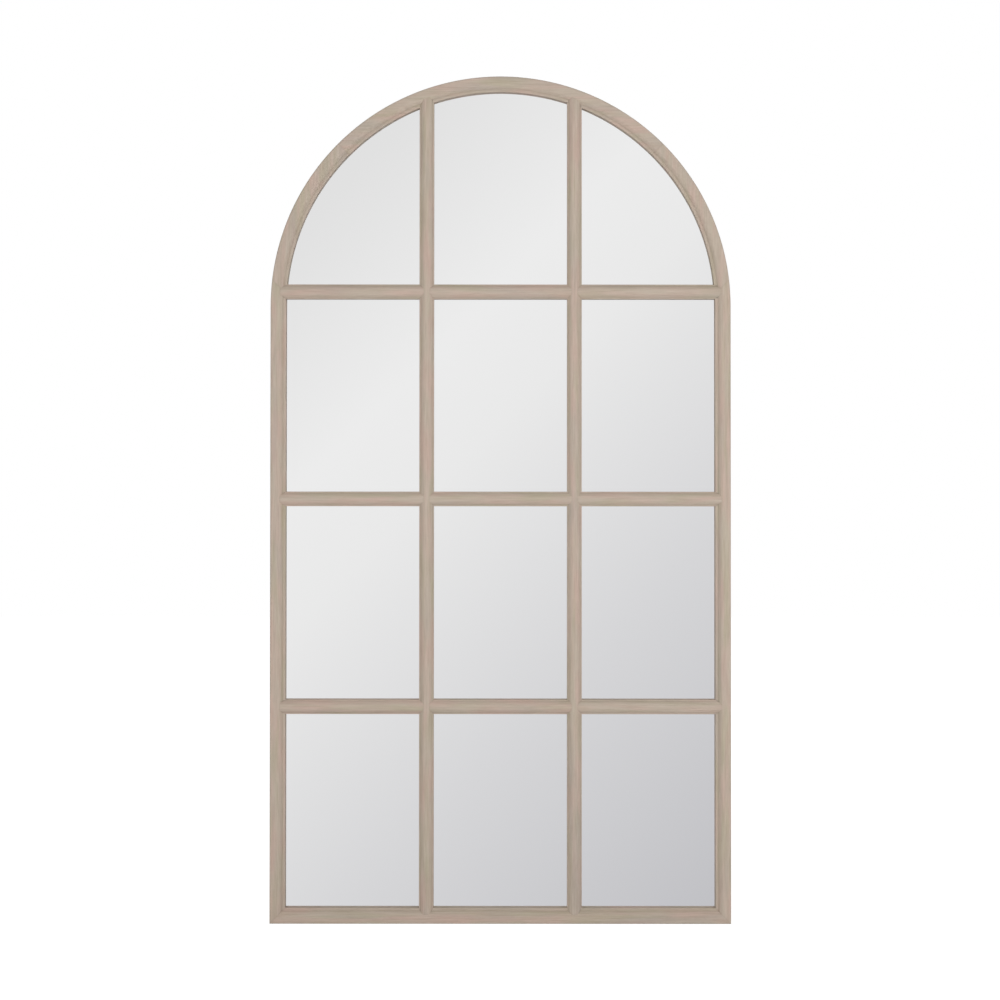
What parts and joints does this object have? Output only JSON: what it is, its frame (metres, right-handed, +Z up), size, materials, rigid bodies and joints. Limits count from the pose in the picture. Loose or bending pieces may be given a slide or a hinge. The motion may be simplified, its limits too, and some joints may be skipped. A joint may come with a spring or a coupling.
{
  "type": "arched window mirror",
  "caption": "Wall mirror with a half-round head, a moulded limewashed frame and a grid of glazing bars over one mirror sheet, hung from ring hangers on its back.",
  "frame": {"origin": "middle of the hanging line, where the two hanger rings bear on their hooks, in the plane of the wall behind the mirror; 800 mm above the bottom edge", "axes": "+X to the right seen from the front, +Y back into the wall, +Z up"},
  "size_m": [0.61, 0.027, 1.122],
  "materials": {
    "limewashed_wood": "matte",
    "silvered_glass": "polished",
    "grey_card": "matte",
    "hardboard": "matte",
    "beech_dowel": "matte",
    "plain_steel": "satin",
    "zinc_plated_steel": "satin",
    "soft_rubber": "matte"
  },
  "bodies": {
    "frame": {"stile_left": "limewashed_wood", "stile_right": "limewashed_wood", "arch_left": "limewashed_wood", "arch_crown": "limewashed_wood", "arch_right": "limewashed_wood", "bottom_rail": "limewashed_wood", "muntin_upright_left": "limewashed_wood", "muntin_upright_right": "limewashed_wood", "muntin_cross_bottom": "limewashed_wood", "muntin_cross_middle": "limewashed_wood", "muntin_cross_top": "limewashed_wood", "mirror_glass": "silvered_glass", "card_liner": "grey_card", "backing_board": "hardboard", "arch_dowels": "beech_dowel", "corner_vee_nails": "plain_steel", "framers_points": "plain_steel", "hanger_strap_left": "zinc_plated_steel", "hanger_strap_right": "zinc_plated_steel", "hanger_screws": "zinc_plated_steel", "wall_bumper_left": "soft_rubber", "wall_bumper_right": "soft_rubber"},
    "ring_left": {"hanger_ring_left": "zinc_plated_steel"},
    "ring_right": {"hanger_ring_right": "zinc_plated_steel"}
  },
  "joints": [
    {"name": "ring_left_swing", "type": "hinge", "parent": "frame", "child": "ring_left", "pos_m": [-0.2978, -0.0028, -0.0106], "axis": [-1, 0, 0], "range_deg": [0, 178]},
    {"name": "ring_right_swing", "type": "hinge", "parent": "frame", "child": "ring_right", "pos_m": [0.2978, -0.0028, -0.0106], "axis": [-1, 0, 0], "range_deg": [0, 178]}
  ]
}
